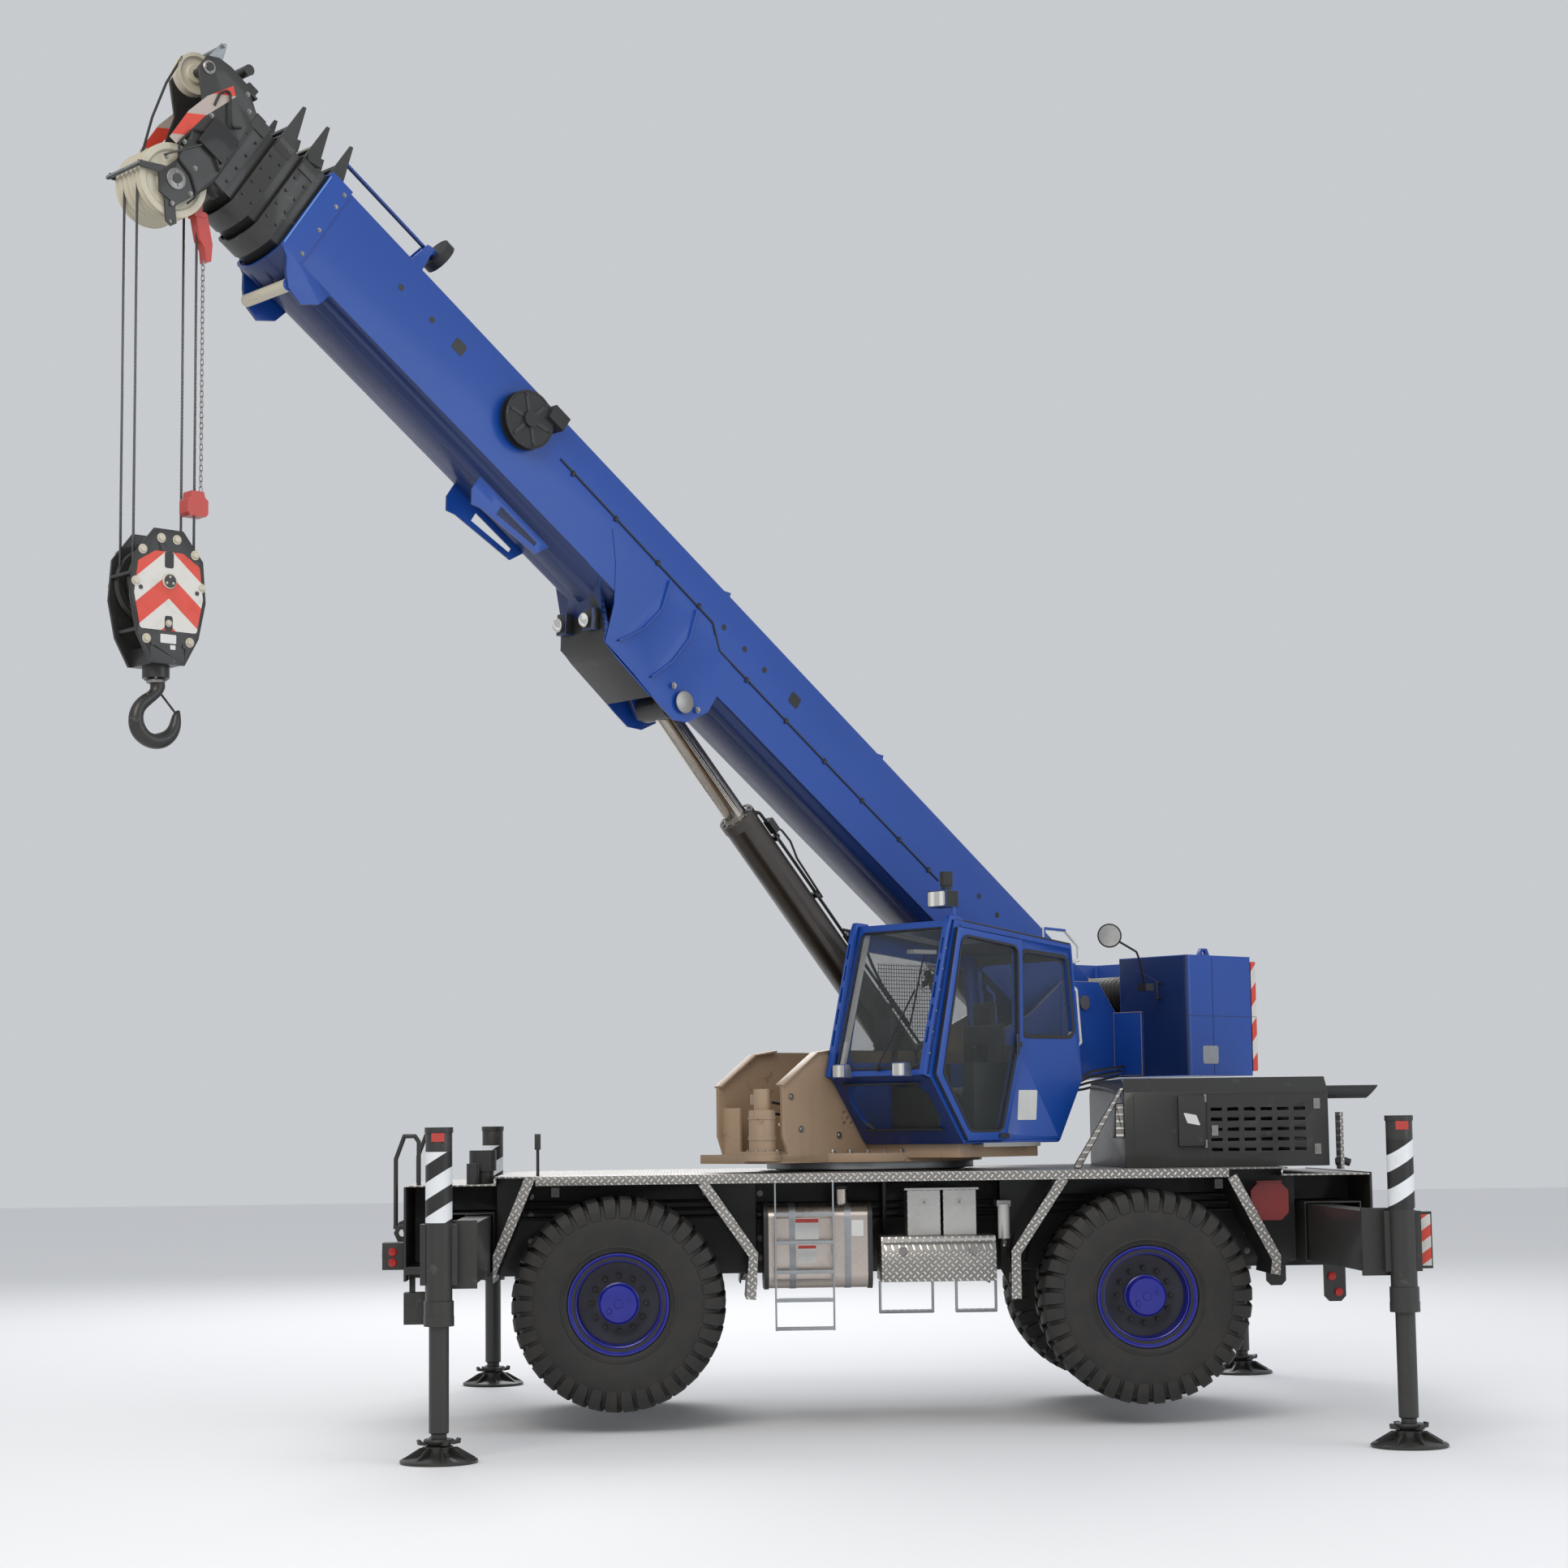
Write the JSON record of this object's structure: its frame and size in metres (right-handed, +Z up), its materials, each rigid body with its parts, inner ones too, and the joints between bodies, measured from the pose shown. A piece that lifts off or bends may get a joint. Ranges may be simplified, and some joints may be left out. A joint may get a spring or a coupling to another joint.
{
  "type": "rough terrain crane",
  "caption": "Two-axle rough terrain crane on outriggers, with slewing cab, telescopic boom, luffing cylinder, hook block and steered wheels.",
  "frame": {"origin": "on the ground, under the middle of the whole machine's bounding box", "axes": "+X forward along the carrier, +Y to its left, +Z up"},
  "size_m": [9.3906, 8.0076, 9.7751],
  "materials": {
    "barrel_dark": "satin",
    "boom_blue": "gloss",
    "cab_blue": "gloss",
    "cab_trim": "matte",
    "charcoal": "satin",
    "chrome_rod": "polished",
    "door_frame": "satin",
    "engine_grey": "matte",
    "frame_dark": "satin",
    "galvanised": "satin",
    "glass": "clear",
    "hook_black": "satin",
    "jack_grey": "satin",
    "rim_blue": "gloss",
    "rope_steel": "satin",
    "sand": "satin",
    "seat_dark": "matte",
    "section_grey": "satin",
    "sheave_sand": "satin",
    "tank_steel": "polished",
    "tread_plate": "satin",
    "tyre": "matte"
  },
  "bodies": {
    "carrier": {"carrier_frame": "frame_dark", "deck": "tread_plate", "mudguards": "charcoal", "engine_hood": "charcoal", "engine_block": "engine_grey", "exhaust": "barrel_dark", "fuel_tank": "tank_steel", "toolboxes": "tread_plate", "ladder": "galvanised", "front_fittings": "charcoal", "front_axle": "frame_dark", "rear_axle": "frame_dark", "slew_ring": "galvanised"},
    "superstructure": {"turntable": "sand", "slew_drive": "sand", "counterweight": "boom_blue", "winches": "sand", "cab_shell": "cab_blue", "cab_glass": "glass", "seat": "seat_dark", "console": "cab_trim", "boom_pin": "galvanised"},
    "cab_door": {"cab_door": "door_frame", "door_glass": "glass"},
    "boom_base": {"boom_base": "boom_blue", "cable_reel": "door_frame", "luff_pin": "galvanised"},
    "boom_section_2": {"boom_section_2": "section_grey"},
    "boom_section_3": {"boom_section_3": "section_grey"},
    "boom_section_4": {"boom_section_4": "section_grey", "head_sheaves": "sheave_sand"},
    "luff_rod": {"luff_rod": "chrome_rod"},
    "luff_barrel": {"luff_barrel": "barrel_dark"},
    "falls": {"hoist_falls": "rope_steel"},
    "hook_block": {"hook_block": "hook_black", "block_sheaves": "sheave_sand"},
    "hook": {"hook": "hook_black"},
    "knuckle_fl": {"knuckle_fl": "frame_dark"},
    "wheel_fl": {"rim_fl": "rim_blue", "tyre_fl": "tyre"},
    "outrigger_fl": {"outrigger_beam_fl": "jack_grey"},
    "jack_fl": {"jack_leg_fl": "jack_grey"},
    "knuckle_fr": {"knuckle_fr": "frame_dark"},
    "wheel_fr": {"rim_fr": "rim_blue", "tyre_fr": "tyre"},
    "outrigger_fr": {"outrigger_beam_fr": "jack_grey"},
    "jack_fr": {"jack_leg_fr": "jack_grey"},
    "knuckle_rl": {"knuckle_rl": "frame_dark"},
    "wheel_rl": {"rim_rl": "rim_blue", "tyre_rl": "tyre"},
    "outrigger_rl": {"outrigger_beam_rl": "jack_grey"},
    "jack_rl": {"jack_leg_rl": "jack_grey"},
    "knuckle_rr": {"knuckle_rr": "frame_dark"},
    "wheel_rr": {"rim_rr": "rim_blue", "tyre_rr": "tyre"},
    "outrigger_rr": {"outrigger_beam_rr": "jack_grey"},
    "jack_rr": {"jack_leg_rr": "jack_grey"}
  },
  "joints": [
    {"name": "slew", "type": "hinge", "parent": "carrier", "child": "superstructure", "pos_m": [-0.70533, -0.57885, 1.99], "axis": [0, 0, 1], "continuous": true},
    {"name": "luff", "type": "hinge", "parent": "superstructure", "child": "boom_base", "pos_m": [-2.35233, -1.96084, 3.28], "axis": [0.6428, -0.766, 0], "range_deg": [-36.5, 40.5]},
    {"name": "luff_rod_pivot", "type": "hinge", "parent": "boom_base", "child": "luff_rod", "pos_m": [0.95258, 0.8123, 5.49749], "axis": [0.6428, -0.766, 0], "range_deg": [-5.97, 6.58]},
    {"name": "luff_stroke", "type": "slide", "parent": "luff_rod", "child": "luff_barrel", "axis": [-0.53, -0.4447, -0.722], "range_m": [-0.95075, 1.05275]},
    {"name": "telescope_2", "type": "slide", "parent": "boom_base", "child": "boom_section_2", "axis": [0.6236, 0.5233, 0.5807], "range_m": [0, 7.8]},
    {"name": "telescope_3", "type": "slide", "parent": "boom_section_2", "child": "boom_section_3", "axis": [0.6236, 0.5233, 0.5807], "range_m": [0, 7.8]},
    {"name": "telescope_4", "type": "slide", "parent": "boom_section_3", "child": "boom_section_4", "axis": [0.6236, 0.5233, 0.5807], "range_m": [0, 7.8]},
    {"name": "falls_plumb", "type": "hinge", "parent": "boom_section_4", "child": "falls", "pos_m": [4.32211, 3.63968, 8.73326], "axis": [0.6428, -0.766, 0], "range_deg": [-41, 37]},
    {"name": "hook_hoist", "type": "slide", "parent": "falls", "child": "hook_block", "axis": [0, 0, -1], "range_m": [-1.4852, 1.64577], "deforming": ["hoist_falls"]},
    {"name": "hook_swivel", "type": "hinge", "parent": "hook_block", "child": "hook", "pos_m": [4.32211, 3.63968, 5.26326], "axis": [0, 0, 1], "continuous": true},
    {"name": "door_slide", "type": "slide", "parent": "superstructure", "child": "cab_door", "axis": [-0.766, -0.6428, 0], "range_m": [0, 0.6]},
    {"name": "steer_fl", "type": "hinge", "parent": "carrier", "child": "knuckle_fl", "pos_m": [1.29467, 0.27115, 0.959], "axis": [0, 0, 1], "range_deg": [-20, 20]},
    {"name": "wheel_spin_fl", "type": "hinge", "parent": "knuckle_fl", "child": "wheel_fl", "pos_m": [1.29467, 0.59115, 0.959], "axis": [0, 1, 0], "continuous": true},
    {"name": "beam_fl", "type": "slide", "parent": "carrier", "child": "outrigger_fl", "axis": [0, 1, 0], "range_m": [-1.78, 0]},
    {"name": "jack_fl", "type": "slide", "parent": "outrigger_fl", "child": "jack_fl", "axis": [0, 0, -1], "range_m": [-0.6, 0]},
    {"name": "steer_fr", "type": "hinge", "parent": "carrier", "child": "knuckle_fr", "pos_m": [1.29467, -1.42885, 0.959], "axis": [0, 0, 1], "range_deg": [-20, 20]},
    {"name": "wheel_spin_fr", "type": "hinge", "parent": "knuckle_fr", "child": "wheel_fr", "pos_m": [1.29467, -1.74885, 0.959], "axis": [0, 1, 0], "continuous": true},
    {"name": "beam_fr", "type": "slide", "parent": "carrier", "child": "outrigger_fr", "axis": [0, -1, 0], "range_m": [-1.78, 0]},
    {"name": "jack_fr", "type": "slide", "parent": "outrigger_fr", "child": "jack_fr", "axis": [0, 0, -1], "range_m": [-0.6, 0]},
    {"name": "steer_rl", "type": "hinge", "parent": "carrier", "child": "knuckle_rl", "pos_m": [-2.70533, 0.27115, 0.959], "axis": [0, 0, 1], "range_deg": [-20, 20]},
    {"name": "wheel_spin_rl", "type": "hinge", "parent": "knuckle_rl", "child": "wheel_rl", "pos_m": [-2.70533, 0.59115, 0.959], "axis": [0, 1, 0], "continuous": true},
    {"name": "beam_rl", "type": "slide", "parent": "carrier", "child": "outrigger_rl", "axis": [0, 1, 0], "range_m": [-1.78, 0]},
    {"name": "jack_rl", "type": "slide", "parent": "outrigger_rl", "child": "jack_rl", "axis": [0, 0, -1], "range_m": [-0.6, 0]},
    {"name": "steer_rr", "type": "hinge", "parent": "carrier", "child": "knuckle_rr", "pos_m": [-2.70533, -1.42885, 0.959], "axis": [0, 0, 1], "range_deg": [-20, 20]},
    {"name": "wheel_spin_rr", "type": "hinge", "parent": "knuckle_rr", "child": "wheel_rr", "pos_m": [-2.70533, -1.74885, 0.959], "axis": [0, 1, 0], "continuous": true},
    {"name": "beam_rr", "type": "slide", "parent": "carrier", "child": "outrigger_rr", "axis": [0, -1, 0], "range_m": [-1.78, 0]},
    {"name": "jack_rr", "type": "slide", "parent": "outrigger_rr", "child": "jack_rr", "axis": [0, 0, -1], "range_m": [-0.6, 0]}
  ],
  "couplings": [
    {"joint": "luff_rod_pivot", "follows": "luff", "ratio": 0.15},
    {"joint": "luff_stroke", "follows": "luff", "m_per_rad": 1.461},
    {"joint": "telescope_3", "follows": "telescope_2", "ratio": 1},
    {"joint": "telescope_4", "follows": "telescope_2", "ratio": 1},
    {"joint": "falls_plumb", "follows": "luff", "ratio": -1},
    {"joint": "hook_hoist", "follows": "luff", "m_per_rad": 2.3},
    {"joint": "steer_fr", "follows": "steer_fl", "ratio": 1},
    {"joint": "steer_rr", "follows": "steer_rl", "ratio": 1}
  ]
}
